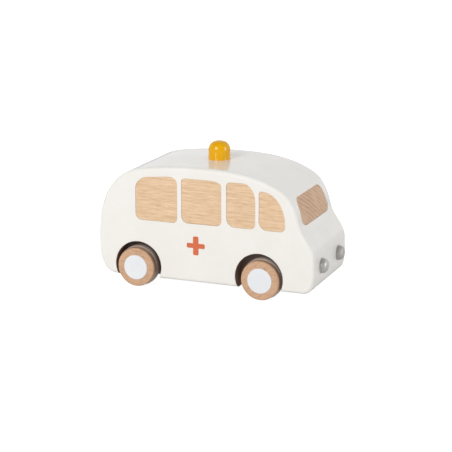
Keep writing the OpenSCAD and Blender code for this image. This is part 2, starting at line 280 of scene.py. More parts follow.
class StudioSettings(bpy.types.PropertyGroup):
    """Camera, floor and lights."""

    camera_place: FloatVectorProperty(
        name="Camera", description="Place of the camera", default=(0.36493, -0.91026, 0.28813),
        size=3, subtype="TRANSLATION", unit="LENGTH"
    )
    camera_turn: number("Turn", "Turn about the upright", math.radians(21.838), subtype="ANGLE")
    camera_drop: number("Drop", "How far the camera looks down", math.radians(14.336), subtype="ANGLE")
    lens: number("Lens", "Focal length in millimetres", 122.6, min=1, subtype="DISTANCE_CAMERA")
    floor_width: length("Floor width", "Half the width of the floor", 6000)
    floor: colour("Floor", "Pale floor", 200, 200, 200)
    floor_glow: number("Floor glow", "Glow of the floor as the camera sees it", 0.85)
    floor_lift: number("Floor lift", "Glow of the floor that lights the toy", 0.16)
    sky: number("Sky", "Strength of the light from behind the toy", 1.0)
    sky_top: number("Top of the sky", "Share of it overhead", 0.43)
    sky_near: number("Near sky", "Strength on the camera's side", 0.3)
    softbox_power: number("Softbox power", "Power of the left softbox in watts", 62.0, subtype="POWER")
    softbox_width: length("Softbox width", "Width of the left softbox", 1300)
    softbox_far: length("Softbox distance", "Distance of the softboxes from the toy", 3000)


SETTINGS = {
    "ambulance_block": BlockSettings,
    "ambulance_panels": PanelSettings,
    "ambulance_wheels": WheelSettings,
    "ambulance_lamps": LampSettings,
    "ambulance_plus": PlusSettings,
    "ambulance_studio": StudioSettings,
}


def looks(part):
    """Settings of a part of the toy or of its stage."""
    return getattr(bpy.context.scene, f"ambulance_{part}")


# Node helpers

def add(tree, kind, inputs=None, **options):
    """Add a node with its options, and the values or links of its inputs."""
    made = tree.nodes.new(kind)
    for name, value in options.items():
        setattr(made, name, value)
    for name, value in (inputs or {}).items():
        if isinstance(value, bpy.types.NodeSocket):
            tree.links.new(value, made.inputs[name])
        else:
            made.inputs[name].default_value = value
    return made


def scaled(tree, vector, scale):
    """Vector stretched by a scale for each axis."""
    return add(tree, "ShaderNodeVectorMath", {0: vector, 1: scale}, operation="MULTIPLY").outputs[0]


def ramped(tree, value, low, high, to_low=0.0, to_high=1.0):
    """Value eased from one range to another."""
    limits = {"Value": value, "From Min": low, "From Max": high, "To Min": to_low, "To Max": to_high}
    return add(tree, "ShaderNodeMapRange", limits, interpolation_type="SMOOTHSTEP").outputs["Result"]


def mixed(tree, factor, first, second):
    """Two colours mixed by a factor."""
    return add(tree, "ShaderNodeMix", {0: factor, 6: first, 7: second}, data_type="RGBA").outputs[2]


def maths(tree, operation, first, second):
    """Sum, product or other result of two values."""
    return add(tree, "ShaderNodeMath", {0: first, 1: second}, operation=operation).outputs[0]


def noise(tree, vector, scale, detail=2.0, rough=0.5):
    """Cloudy value over a vector."""
    values = {"Vector": vector, "Scale": scale, "Detail": detail, "Roughness": rough}
    return add(tree, "ShaderNodeTexNoise", values).outputs["Fac"]


def spotted(tree, vector):
    """Distance over a vector from the nearest of many scattered spots, one in each unit cell."""
    values = {"Vector": vector, "Scale": 1.0}
    return add(tree, "ShaderNodeTexVoronoi", values, feature="F1").outputs["Distance"]


def opaque(rgb, share=1.0):
    """Colour as a node colour, made darker or lighter by a share."""
    return (*[share * level for level in rgb], 1.0)


def new_group(name):
    """Node group that takes a vector in metres, and that vector in millimetres."""
    group = bpy.data.node_groups.new(name, "ShaderNodeTree")
    group.interface.new_socket(name="Vector", in_out="INPUT", socket_type="NodeSocketVector")
    entry = group.nodes.new("NodeGroupInput")
    return group, scaled(group, entry.outputs["Vector"], (1 / MM,) * 3)


def ended(group, **results):
    """The group, with an output for each result."""
    for name in results:
        group.interface.new_socket(name=name, in_out="OUTPUT", socket_type="NodeSocketFloat")
    leave = group.nodes.new("NodeGroupOutput")
    for name, result in results.items():
        group.links.new(result, leave.inputs[name])
    return group


def new_material(name, **constants):
    """Material with constants on its shader, its node tree and its Object coordinates."""
    material = bpy.data.materials.new(name)
    material.use_nodes = True
    tree = material.node_tree
    shader = tree.nodes["Principled BSDF"]
    for socket, value in constants.items():
        shader.inputs[socket.replace("_", " ")].default_value = value
    return material, tree, add(tree, "ShaderNodeTexCoord").outputs["Object"]


def effect(tree, build, vector):
    """Outputs of a shared effect over a vector. The effect is built once."""
    group = bpy.data.node_groups.get(build.__name__) or build()
    made = add(tree, "ShaderNodeGroup", node_tree=group)
    tree.links.new(vector, made.inputs["Vector"])
    return made.outputs


def linked(material, sockets):
    """The material, with sockets linked to its shader's inputs by their names."""
    tree = material.node_tree
    for name, socket in sockets.items():
        tree.links.new(socket, tree.nodes["Principled BSDF"].inputs[name])
    return material


def dressed(material, tint, rough, height, depth):
    """The material, with a colour, a roughness and a relief from its height and greatest depth."""
    relief = {"Height": height, "Distance": depth, "Strength": 1.0}
    bump = add(material.node_tree, "ShaderNodeBump", relief).outputs["Normal"]
    return linked(material, {"Base Color": tint, "Roughness": rough, "Normal": bump})


# Shared effects. They work in millimetres, and a larger scale makes a finer grain.

def beech_grain():
    """Long grain of beech along X: soft wide bands, short brown flecks and fine fibres."""
    group, mm = new_group("beech_grain")
    bands = noise(group, scaled(group, mm, (0.025, 0.12, 0.55)), 1.0, 3.0, 0.6)
    flecks = ramped(group, spotted(group, scaled(group, mm, (0.24, 1.1, 1.5))), 0.08, 0.34, 1.0, 0.0)
    fibre = noise(group, scaled(group, mm, (0.1, 0.6, 1.5)), 1.0, 4.0, 0.65)
    return ended(group, Bands=ramped(group, bands, 0.32, 0.68), Flecks=flecks, Fibre=fibre)


def end_grain():
    """Cross grain of beech: slanting rings, rays square to them and fine pores."""
    group, mm = new_group("end_grain")
    heart = add(group, "ShaderNodeVectorMath", {0: mm, 1: HEART_AWAY}, operation="ADD").outputs[0]
    ring = {"Vector": scaled(group, heart, (0.1, 1, 1)), "Scale": 0.11, "Distortion": 4.5, "Detail": 3.0}
    form = {"wave_type": "RINGS", "rings_direction": "X", "wave_profile": "SAW"}
    waves = add(group, "ShaderNodeTexWave", ring, **form).outputs["Fac"]
    patches = ramped(group, noise(group, mm, 0.09, 2.0), 0.36, 0.62, 0.3, 1.0)
    rings = maths(group, "MULTIPLY", waves, patches)
    parts = add(group, "ShaderNodeSeparateXYZ", {0: heart}).outputs
    angle = maths(group, "ARCTAN2", parts["Y"], parts["Z"])
    reach = add(group, "ShaderNodeVectorMath", {0: heart}, operation="LENGTH").outputs["Value"]
    polar = add(group, "ShaderNodeCombineXYZ", {"X": angle, "Y": reach}).outputs[0]
    rays = ramped(group, noise(group, scaled(group, polar, (420, 0.12, 1)), 1.0, 2.0), 0.55, 0.72)
    pores = ramped(group, spotted(group, scaled(group, mm, (1, 4, 4))), 0.1, 0.35, 1.0, 0.0)
    return ended(group, Rings=rings, Rays=rays, Pores=pores)


def paint_skin():
    """Brushed paint on wood: cloudy thin spots, and a relief of fine grain and paint texture."""
    group, mm = new_group("paint_skin")
    mottle = noise(group, mm, 0.045, 4.0, 0.6)
    grain = noise(group, scaled(group, mm, (0.05, 0.7, 0.7)), 1.0, 3.0)
    peel = maths(group, "MULTIPLY", noise(group, mm, 0.8, 2.0), 0.5)
    return ended(group, Mottle=mottle, Relief=maths(group, "ADD", grain, peel))


# Finishes

def tinted_paint(name, colours, rough_range, depth, spread=(0.35, 0.7), **constants):
    """Paint of a main colour and cloudy spots, with a range of roughness and a depth of relief."""
    material, tree, place = new_material(name, **constants)
    skin = effect(tree, paint_skin, place)
    tint = mixed(tree, ramped(tree, skin["Mottle"], *spread), *colours)
    rough = ramped(tree, skin["Mottle"], 0.3, 0.7, *rough_range)
    return dressed(material, tint, rough, skin["Relief"], depth)


def white_paint():
    """Satin white paint of the block."""
    look = looks("block")
    satin = {"Specular_IOR_Level": 0.12, "Coat_IOR": 1.6, "Coat_Roughness": 0.16}
    colours = (opaque(look.paint), opaque(look.paint_shade))
    material = tinted_paint("white_paint", colours, (0.34, 0.46), BRUSHED_RELIEF, **satin)
    # The satin shows at a slant, on the roof and the nose
    tree = material.node_tree
    slant = add(tree, "ShaderNodeLayerWeight", {"Blend": 0.5}).outputs["Facing"]
    return linked(material, {"Coat Weight": ramped(tree, slant, 0.35, 0.7)})


def arch_stain_and_shade():
    """Dark stained wood inside the wheel arches, darkened further as painted shade."""
    look = looks("block")
    material, tree, place = new_material("arch_stain_and_shade")
    grain = effect(tree, beech_grain, place)
    tint = mixed(tree, grain["Fibre"], opaque(look.arch_stain_and_shade), opaque(look.arch_stain_and_shade, 1.3))
    rough = ramped(tree, grain["Bands"], 0.0, 1.0, 0.4, 0.55)
    return dressed(material, tint, rough, grain["Fibre"], ROUGH_RELIEF)


def long_beech(name, look, turn=(0, 0, 0), shift=(0, 0, 0)):
    """Bare beech in the colours of some settings, its grain along X or turned and shifted."""
    material, tree, place = new_material(name)
    placed = add(tree, "ShaderNodeMapping", {"Vector": place, "Rotation": turn, "Location": shift})
    grain = effect(tree, beech_grain, placed.outputs["Vector"])
    bands = maths(tree, "MULTIPLY", grain["Bands"], 0.36)
    fibre = ramped(tree, grain["Fibre"], 0.35, 0.68, 0.0, 0.64)
    banded = mixed(tree, maths(tree, "ADD", bands, fibre), opaque(look.pale), opaque(look.deep))
    specks = maths(tree, "MULTIPLY", grain["Flecks"], look.freckled)
    tint = mixed(tree, specks, banded, opaque(look.fleck))
    rough = ramped(tree, grain["Fibre"], 0.3, 0.7, 0.5, 0.62)
    pitted = maths(tree, "SUBTRACT", grain["Fibre"], grain["Flecks"])
    return dressed(material, tint, rough, pitted, ROUGH_RELIEF)


def cross_beech():
    """Bare beech across the grain, for the windscreen and the rear window."""
    look = looks("panels")
    material, tree, place = new_material("end_grain_beech")
    grain = effect(tree, end_grain, place)
    rings = ramped(tree, grain["Rings"], 0.0, 1.0, 0.1, 1.0)
    ringed = mixed(tree, rings, opaque(look.end_pale), opaque(look.end_deep))
    rays = maths(tree, "MULTIPLY", grain["Rays"], 0.5)
    rayed = mixed(tree, rays, ringed, opaque(look.end_pale))
    pores = maths(tree, "MULTIPLY", grain["Pores"], 0.35)
    tint = mixed(tree, pores, rayed, opaque(look.fleck))
    rough = ramped(tree, grain["Rings"], 0.0, 1.0, 0.55, 0.68)
    pitted = maths(tree, "SUBTRACT", grain["Rays"], grain["Pores"])
    return dressed(material, tint, rough, pitted, ROUGH_RELIEF)


def axle_steel():
    """Drawn steel with fine lines round the rod."""
    look = looks("wheels")
    material, tree, place = new_material("axle_steel", Metallic=1.0)
    lines = noise(tree, scaled(tree, place, (60, 6000, 60)), 1.0, 3.0)
    tint = mixed(tree, lines, opaque(look.steel), opaque(look.steel, 0.8))
    rough = ramped(tree, lines, 0.3, 0.7, 0.22, 0.38)
    return dressed(material, tint, rough, lines, DRAWN_RELIEF)


# Shape helpers

def heading(degrees):
    """Direction in the side view."""
    angle = math.radians(degrees)
    return Vector((math.cos(angle), 0, math.sin(angle)))


def outline_stretches():
    """Curved stretches of the block's side outline, each a list of points."""
    keys = [
        (Vector((block_low.x + along * BLOCK_LENGTH, 0, block_low.z + up * BLOCK_HEIGHT)), turn)
        for along, up, turn in OUTLINE_SHARES
    ]
    stretches = []
    for (start, leave), (end, arrive) in zip(keys, keys[1:]):
        # A handle of this length makes the curve follow a circular arc over its chord and turn
        bow = 1 + math.cos(math.radians(leave - arrive) / 2)
        reach = (end - start).length * 2 / 3 / bow
        curve = (start, start + reach * heading(leave), end - reach * heading(arrive), end)
        stretches.append(interpolate_bezier(*curve, OUTLINE_STEPS + 1))
    return stretches


def joined(stretches):
    """One run of points along stretches that follow each other."""
    run = [point for stretch in stretches for point in stretch[:-1]]
    return run + [stretches[-1][-1]]


def moved_in(run, depth):
    """Run of the outline moved into the block, square to itself."""
    inner = []
    for i, point in enumerate(run):
        ahead = run[min(i + 1, len(run) - 1)] - run[max(i - 1, 0)]
        inner.append(point + depth * Vector((ahead.z, 0, -ahead.x)).normalized())
    return inner


def at_height(run, height):
    """Point where a run passes a height."""
    for a, b in zip(run, run[1:]):
        if min(a.z, b.z) <= height <= max(a.z, b.z):
            return a.lerp(b, (height - a.z) / (b.z - a.z))
    raise ValueError(f"the outline does not pass the height {height}")


def soft_corner(before, corner, after, reach_in, reach_out, steps):
    """Rounded corner between the directions to its neighbours."""
    start = corner + reach_in * (before - corner).normalized()
    end = corner + reach_out * (after - corner).normalized()
    handles = (start.lerp(corner, QUARTER_SHARE), end.lerp(corner, QUARTER_SHARE))
    return interpolate_bezier(start, *handles, end, steps + 1)


def soft_outline(corners, steps):
    """Closed outline through corners given as place, reach in and reach out."""
    points = []
    for i, (place, reach_in, reach_out) in enumerate(corners):
        before = corners[i - 1][0]
        after = corners[(i + 1) % len(corners)][0]
        if reach_in > 0:
            points += soft_corner(before, place, after, reach_in, reach_out, steps)
        else:
            points.append(place)
    return points


def window_outline(number, grow):
    """Outline of a side window in the side view, grown all round."""
    look = looks("panels")
    tail_at, nose_at, tail_up, nose_up, *rounds, toe_share = WINDOW_SHARES[number - 1]
    tail_along, tail_down, nose_along, nose_down = rounds
    tail = block_low.x + tail_at * BLOCK_LENGTH - grow
    nose = block_low.x + nose_at * BLOCK_LENGTH + grow
    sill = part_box(f"side_window_right_{number}")[0].z - grow
    tail_top = block_low.z + tail_up * BLOCK_HEIGHT + grow
    nose_top = block_low.z + nose_up * BLOCK_HEIGHT + grow
    wide = nose - tail
    toe = toe_share * look.corner
    return soft_outline(
        [
            (Vector((tail, 0, sill)), toe, toe),
            (Vector((tail, 0, tail_top)), tail_down * (tail_top - sill), tail_along * wide),
            (Vector((nose, 0, nose_top)), nose_along * wide, nose_down * (nose_top - sill)),
            (Vector((nose, 0, sill)), look.heel, look.heel),
        ],
        CORNER_STEPS,
    )


def flat_ring(outline, side, depth):
    """Outline from the side view, moved to a depth below a flat side of the block."""
    return [Vector((point.x, side * (HALF_WIDTH - depth), point.z)) for point in outline]


def screen_ring(node, taper, stretches, depth, grow):
    """Ring of the windscreen or rear window at a depth below the curved end of the block."""
    look = looks("panels")
    low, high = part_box(node)
    foot = Vector((0, high.y + grow, low.z - grow))
    head = Vector((0, high.y - taper / 2 + grow, high.z + grow))
    inward = Vector((0, -1, 0))
    corner = look.screen_corner
    lower = soft_corner(foot + inward, foot, head, look.screen_foot, look.screen_side, CORNER_STEPS)
    upper = soft_corner(foot, head, head + inward, corner, corner, CORNER_STEPS)
    side = [lower[-1].lerp(upper[0], i / SIDE_STEPS) for i in range(1, SIDE_STEPS)]
    run = moved_in(joined(outline_stretches()[stretches]), depth)
    chain = [Vector((at_height(run, p.z).x, p.y, p.z)) for p in lower + side + upper]
    mirrored = [Vector((p.x, -p.y, p.z)) for p in reversed(chain)]
    return chain + mirrored


def quarter_turns(steps=ROUND_STEPS):
    """Sine and cosine along a quarter turn."""
    angles = [math.pi / 2 * i / steps for i in range(steps + 1)]
    return [(math.sin(angle), math.cos(angle)) for angle in angles]


def pocket_steps():
    """Depth and growth of each ring of a window pocket, from its floor out over its lip."""
    look = looks("panels")
    lip = [(look.lip * (1 - s) - LIP_OVERRUN, look.gap + look.lip * (1 - c)) for s, c in quarter_turns()]
    return [(look.depth, look.gap)] + lip + [(-OVERRUN, look.gap + look.lip)]


def panel_steps():
    """Depth and growth of each ring of a let-in panel, from its back out over its rim."""
    look = looks("panels")
    rim = [(look.sunk + look.rim * (1 - s), -look.rim * (1 - c)) for s, c in quarter_turns()]
    return [(look.depth, 0)] + rim


def skinned(rings, folded=False):
    """Closed shape through rings of points. The ends of folded rings are closed half to half."""
    shape = bmesh.new()
    loop = [shape.verts.new(point) for point in rings[0]]
    edges = [shape.edges.new(pair) for pair in zip(loop, loop[1:] + loop[:1])]
    start = edges
    for ring in rings[1:]:
        grown = bmesh.ops.extrude_edge_only(shape, edges=edges)["geom"]
        fresh = {item for item in grown if isinstance(item, bmesh.types.BMVert)}
        sides = [(vert, edge) for vert in loop for edge in vert.link_edges]
        loop = [edge.other_vert(vert) for vert, edge in sides if edge.other_vert(vert) in fresh]
        edges = [shape.edges.get(pair) for pair in zip(loop, loop[1:] + loop[:1])]
        for vert, point in zip(loop, ring):
            vert.co = point
    for end in (start, edges):
        half = len(end) // 2
        if folded:
            bmesh.ops.bridge_loops(shape, edges=end[:half - 1] + end[half:-1])
        else:
            bmesh.ops.contextual_create(shape, geom=end)
    bmesh.ops.recalc_face_normals(shape, faces=shape.faces)
    return shape


def dome_corners(wide, low, tall, fullness):
    """Corners of a dome for turned, between a ball (2) and a cylinder (more) in fullness."""
    power = 2 / fullness
    return [(wide * c ** power, low + tall * s ** power, 0) for s, c in quarter_turns(DOME_STEPS)]


def turned(corners, centre, axis, closed=False):
    """Shape turned about an axis through corners of radius, distance along it and rounding."""
    profile = soft_outline([(Vector((r, d, 0)), soft, soft) for r, d, soft in corners], ROUND_STEPS)
    shape = bmesh.new()
    out = axis.orthogonal().normalized()
    verts = [shape.verts.new(centre + point.x * out + point.y * axis) for point in profile]
    pairs = list(zip(verts, verts[1:]))
    if closed:
        pairs.append((verts[-1], verts[0]))
    edges = [shape.edges.new(pair) for pair in pairs]
    spin = {"cent": centre, "axis": axis, "angle": math.tau, "steps": TURN_STEPS, "use_merge": True}
    bmesh.ops.spin(shape, geom=verts + edges, **spin)
    bmesh.ops.remove_doubles(shape, verts=shape.verts, dist=MERGE)
    bmesh.ops.recalc_face_normals(shape, faces=shape.faces)
    return shape


def crisp_edges(shape):
    """Smooth faces, with edges that turn sharply kept crisp."""
    for face in shape.faces:
        face.smooth = True
    for edge in shape.edges:
        edge.smooth = edge.calc_face_angle(0) < CRISP


def new_object(name, shape, *materials):
    """Object at the origin with a shape and its materials."""
    mesh = bpy.data.meshes.new(name)
    shape.to_mesh(mesh)
    shape.free()
    for material in materials:
        mesh.materials.append(material)
    made = bpy.data.objects.new(name, mesh)
    bpy.context.scene.collection.objects.link(made)
    return made


def checked(name, shape):
    """The shape, if it is one closed skin."""
    open_edges = sum(not edge.is_manifold for edge in shape.edges)
    if open_edges or not shape.faces:
        raise RuntimeError(f"{name} is not closed: {open_edges} open edges, {len(shape.faces)} faces")
    return shape


def new_piece(name, shape, material, body, slot, *nodes):
    """Finished piece that rides on a body and stands for CAD nodes."""
    crisp_edges(checked(name, shape))
    piece = new_object(name, shape, material)
    even_shading(piece)
    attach(piece, body)
    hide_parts(*nodes)
    return piece


def even_shading(piece):
    """Flat faces keep flat shading next to small rounded edges."""
    shading = piece.modifiers.new("Even shading", "WEIGHTED_NORMAL")
    shading.keep_sharp = True


def middle(node):
    """Middle of a node's box."""
    low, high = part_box(node)
    return (low + high) / 2


def across(node):
    """Least and greatest distance of a node from the upright plane along the toy's middle."""
    low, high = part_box(node)
    return sorted((abs(low.y), abs(high.y)))


def radius(node):
    """Radius of a round node, from its height."""
    low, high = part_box(node)
    return (high.z - low.z) / 2


# The painted block

def soft_block():
    """The block's outline drawn across the toy, with its side edges rounded."""
    look = looks("block")
    shape = bmesh.new()
    outline = joined(outline_stretches())
    side = shape.faces.new([shape.verts.new((p.x, -HALF_WIDTH, p.z)) for p in outline])
    grown = bmesh.ops.extrude_face_region(shape, geom=[side])["geom"]
    far = [item for item in grown if isinstance(item, bmesh.types.BMVert)]
    bmesh.ops.translate(shape, verts=far, vec=(0, 2 * HALF_WIDTH, 0))
    bmesh.ops.recalc_face_normals(shape, faces=shape.faces)
    rims = [edge for edge in shape.edges if edge.verts[0].co.y * edge.verts[1].co.y > 0]
    circle = {"offset_type": "OFFSET", "profile": 0.5, "segments": EDGE_STEPS, "material": -1}
    bmesh.ops.bevel(shape, geom=rims, offset=look.edge_round, affect="EDGES", **circle)
    return shape


def arch_cutter(end, hand, side):
    """Round pocket for a wheel, with a rounded lip."""
    look = looks("block")
    wheel = middle(f"wheel_{end}_{hand}")
    inward = 1 if end == "rear" else -1
    centre = Vector((wheel.x + inward * look.arch_shift, 0, wheel.z + look.arch_lift))
    wall = across(f"wheel_{end}_{hand}")[0] - look.arch_gap
    lip = look.arch_lip
    rim = HALF_WIDTH + LIP_OVERRUN
    mouth = HALF_WIDTH + OVERRUN
    wide = look.arch_radius
    edge = [(wide + lip * (1 - c), rim - lip * (1 - s), 0) for s, c in quarter_turns()]
    corners = [(0, wall, 0), (wide, wall, 0), *edge, (wide + lip, mouth, 0), (0, mouth, 0)]
    return turned(corners, centre, Vector((0, side, 0)))


def bore_cutter(end):
    """Through bore for an axle, from arch to arch."""
    look = looks("block")
    wall = across(f"wheel_{end}_right")[0] - look.arch_gap + OVERRUN
    wide = radius(f"{end}_axle") + look.axle_gap
    corners = [(0, -wall, 0), (wide, -wall, 0), (wide, wall, 0), (0, wall, 0)]
    return turned(corners, middle(f"{end}_axle"), Vector((0, 1, 0)))


def peg_cutter(seat, axis, wide, peg_wide, peg_long):
    """Flat seat and blind hole for a beacon or headlight."""
    look = looks("block")
    deep = -peg_long - look.peg_end
    hole = peg_wide / 2 + look.peg_gap
    rim = wide / 2 + look.peg_gap
    corners = [(0, deep), (hole, deep), (hole, 0), (rim, 0), (rim, SEAT_OVERRUN), (0, SEAT_OVERRUN)]
    return turned([(r, d, 0) for r, d in corners], seat, axis)


def beacon_seat():
    """Middle of the beacon's foot."""
    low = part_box("beacon")[0]
    centre = middle("beacon")
    return Vector((centre.x, centre.y, low.z + looks("lamps").tenon_long))


def lamp_seat(hand):
    """Middle of a headlight's foot."""
    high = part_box(f"headlight_{hand}")[1]
    centre = middle(f"headlight_{hand}")
    return Vector((high.x - looks("lamps").dome_high, centre.y, centre.z))


def screens():
    """Node, taper and part of the outline of the two windows across the toy."""
    look = looks("panels")
    return (
        ("windscreen", look.screen_taper, NOSE_STRETCHES),
        ("rear_window", look.rear_taper, TAIL_STRETCHES),
    )


def window_shape(number, side, steps):
    """Side window or its pocket, with a ring at each step of depth and growth."""
    return skinned([flat_ring(window_outline(number, grow), side, depth) for depth, grow in steps])


def screen_shape(screen, steps):
    """Screen or its pocket, with a ring at each step of depth and growth."""
    return skinned([screen_ring(*screen, *step) for step in steps], folded=True)


def window_cutters():
    """Pockets for every window."""
    steps = pocket_steps()
    places = [(number, side) for side in HANDS.values() for number in WINDOW_NUMBERS]
    pockets = [window_shape(*place, steps) for place in places]
    return pockets + [screen_shape(screen, steps) for screen in screens()]


def block_cutters():
    """Everything that is taken out of the block."""
    lamps = looks("lamps")
    arches = [arch_cutter(end, *hand) for end in WHEEL_BODIES for hand in HANDS.items()]
    holes = [bore_cutter(end) for end in WHEEL_BODIES]
    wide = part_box("beacon")[1].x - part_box("beacon")[0].x
    holes.append(peg_cutter(beacon_seat(), Vector((0, 0, 1)), wide, lamps.tenon_wide, lamps.tenon_long))
    for hand in HANDS:
        dome = 2 * radius(f"headlight_{hand}")
        holes.append(
            peg_cutter(lamp_seat(hand), Vector((1, 0, 0)), dome, lamps.shank_wide, lamps.shank_long)
        )
    return arches, holes + window_cutters()


def carved(block, cutters):
    """Take the cutters out of the block and clear them away."""
    tools = bpy.data.collections.new("cutters")
    bpy.context.scene.collection.children.link(tools)
    for cutter in cutters:
        bpy.context.scene.collection.objects.unlink(cutter)
        tools.objects.link(cutter)
    cut = block.modifiers.new("Carve", "BOOLEAN")
    cut.operation = "DIFFERENCE"
    cut.solver = "EXACT"
    cut.operand_type = "COLLECTION"
    cut.collection = tools
    cut.material_mode = "TRANSFER"
    plain = block.data
    evaluated = block.evaluated_get(bpy.context.evaluated_depsgraph_get())
    block.data = bpy.data.meshes.new_from_object(evaluated)
    block.modifiers.clear()
    bpy.data.meshes.remove(plain)
    for cutter in cutters:
        bpy.data.meshes.remove(cutter.data)
    bpy.data.collections.remove(tools)


class AMBULANCE_OT_make_block(bpy.types.Operator):
    """Make the painted block with its arches, window pockets and holes"""

    bl_idname = "ambulance.make_block"
    bl_label = "Make painted block"

    def execute(self, context):
        look = looks("block")
        paint = white_paint()
        stain_and_shade = arch_stain_and_shade()
        arches, others = block_cutters()
        cutters = [new_object("cutter", shape, paint) for shape in others]
        lip = HALF_WIDTH - look.arch_lip
        for shape in arches:
            for face in shape.faces:
                # Faces deep in an arch get the stain and painted shade; the rounded lip stays white
                face.material_index = int(abs(face.calc_center_median().y) < lip)
            cutters.append(new_object("cutter", shape, paint, stain_and_shade))
        block = new_object("painted_block", soft_block(), paint)
        carved(block, cutters)
        shape = bmesh.new()
        shape.from_mesh(block.data)
        bmesh.ops.remove_doubles(shape, verts=shape.verts, dist=MERGE)
        bmesh.ops.dissolve_degenerate(shape, edges=shape.edges, dist=MERGE)
        crisp_edges(checked("painted_block", shape))
        shape.to_mesh(block.data)
        shape.free()
        even_shading(block)
        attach(block, "body")
        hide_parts("body_block")
        return {"FINISHED"}


class AMBULANCE_OT_make_side_windows(bpy.types.Operator):
    """Make the four beech windows of each side"""

    bl_idname = "ambulance.make_side_windows"
    bl_label = "Make side windows"

    def execute(self, context):
        look = looks("panels")
        beech = long_beech("bare_beech", look)
        for hand, side in HANDS.items():
            for number in WINDOW_NUMBERS:
                shape = window_shape(number, side, panel_steps())
                node = f"side_window_{hand}_{number}"
                new_piece(f"beech_window_{hand}_{number}", shape, beech, "body", "bare_beech", node)
        return {"FINISHED"}


class AMBULANCE_OT_make_screens(bpy.types.Operator):
    """Make the windscreen and the rear window across the grain"""

    bl_idname = "ambulance.make_screens"
    bl_label = "Make windscreen and rear window"

    def execute(self, context):
        beech = cross_beech()
        for screen in screens():
            node = screen[0]
            shape = screen_shape(screen, panel_steps())
            new_piece(f"beech_{node}", shape, beech, "body", "end_grain_beech", node)
        return {"FINISHED"}


def each_wheel():
    """End and hand, centre on the toy's middle plane, axis outwards and body of every wheel."""
    for end, body in WHEEL_BODIES.items():
        for hand, side in HANDS.items():
            place = middle(f"{end}_axle")
            yield f"{end}_{hand}", Vector((place.x, 0, place.z)), Vector((0, side, 0)), body


class AMBULANCE_OT_make_wheels(bpy.types.Operator):
    """Make the turned beech wheels"""

    bl_idname = "ambulance.make_wheels"
    bl_label = "Make wheels"

    def execute(self, context):
        look = looks("wheels")
        for number, (where, centre, axis, body) in enumerate(each_wheel()):
            back, face = across(f"wheel_{where}")
            floor = across(f"hub_disc_{where}")[0]
            disc_back = across(f"tyre_{where}")[1]
            rim = radius(f"wheel_{where}")
            drum = radius(f"tyre_{where}") - look.tyre_thick
            bore = radius(f"{where.split('_')[0]}_axle")
            seat = radius(f"hub_disc_{where}")
            corners = [
                (bore, back, 0),
                (drum, back, look.disc_back_round),
                (drum, disc_back, 0),
                (rim, disc_back, look.disc_back_round),
                (rim, face, look.disc_round),
                (seat, face, look.seat_round),
                (seat, floor, 0),
                (bore, floor, 0),
            ]
            # Each wheel is cut from another place in the plank, its grain turned its own way
            turn = (0, FIRST_TURN + NEXT_TURN * number, 0)
            grain = long_beech(f"wheel_beech_{where}", look, turn, (0, PLANK_STEP * number, 0))
            shape = turned(corners, centre, axis, closed=True)
            new_piece(f"beech_wheel_{where}", shape, grain, body, "wheel_beech", f"wheel_{where}")
        return {"FINISHED"}


class AMBULANCE_OT_make_tyres(bpy.types.Operator):
    """Make the dark tyre rings behind the wheels' discs"""

    bl_idname = "ambulance.make_tyres"
    bl_label = "Make tyres"

    def execute(self, context):
        look = looks("wheels")
        colours = (opaque(look.tyre), opaque(look.tyre, 1.15))
        rubber = tinted_paint("tyre_dark", colours, (0.5, 0.6), ROUGH_RELIEF, spread=(0.45, 0.75))
        for where, centre, axis, body in each_wheel():
            back, front = across(f"tyre_{where}")
            tread = radius(f"tyre_{where}")
            drum = tread - look.tyre_thick
            shoulders = [(tread, back, look.tyre_round), (tread, front, look.tyre_round)]
            corners = [(drum, back, 0), *shoulders, (drum, front, 0)]
            shape = turned(corners, centre, axis, closed=True)
            new_piece(f"rubber_tyre_{where}", shape, rubber, body, "tyre_dark", f"tyre_{where}")
        return {"FINISHED"}


class AMBULANCE_OT_make_hub_discs(bpy.types.Operator):
    """Make the white hub discs over the axle ends"""

    bl_idname = "ambulance.make_hub_discs"
    bl_label = "Make hub discs"

    def execute(self, context):
        look = looks("wheels")
        colours = (opaque(look.hub), opaque(look.hub, 0.95))
        white = tinted_paint("hub_white", colours, (0.28, 0.4), LACQUER_RELIEF)
        for where, centre, axis, body in each_wheel():
            floor, face = across(f"hub_disc_{where}")
            wide = radius(f"hub_disc_{where}")
            corners = [(0, floor, 0), (wide, floor, 0), (wide, face, look.hub_round), (0, face, 0)]
            shape = turned(corners, centre, axis)
            new_piece(f"white_hub_{where}", shape, white, body, "hub_white", f"hub_disc_{where}")
        return {"FINISHED"}


class AMBULANCE_OT_finish_axles(bpy.types.Operator):
    """Give the axles their drawn steel"""

    bl_idname = "ambulance.finish_axles"
    bl_label = "Finish axles"

    def execute(self, context):
        steel = axle_steel()
        for end in WHEEL_BODIES:
            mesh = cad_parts[f"{end}_axle"].data
            mesh.materials.clear()
            mesh.materials.append(steel)
        return {"FINISHED"}


class AMBULANCE_OT_make_beacon(bpy.types.Operator):
    """Make the yellow beacon with its tenon"""

    bl_idname = "ambulance.make_beacon"
    bl_label = "Make beacon"

    def execute(self, context):
        look = looks("lamps")
        low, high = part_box("beacon")
        seat = beacon_seat()
        wide = (high.x - low.x) / 2
        shoulder = high.z - seat.z - look.beacon_crown
        tenon = look.tenon_wide / 2
        corners = [
            (0, -look.tenon_long, 0),
            (tenon, -look.tenon_long, look.beacon_base),
            (tenon, 0, 0),
            (wide, 0, look.beacon_base),
            *dome_corners(wide, shoulder, look.beacon_crown, look.beacon_fullness),
        ]
        shape = turned(corners, seat, Vector((0, 0, 1)))
        colours = (opaque(look.yellow), opaque(look.yellow_deep))
        gloss = {"Specular_IOR_Level": 0.34}
        yellow = tinted_paint("beacon_yellow", colours, (0.13, 0.18), LACQUER_RELIEF, **gloss)
        new_piece("yellow_beacon", shape, yellow, "body", "beacon_yellow", "beacon")
        return {"FINISHED"}


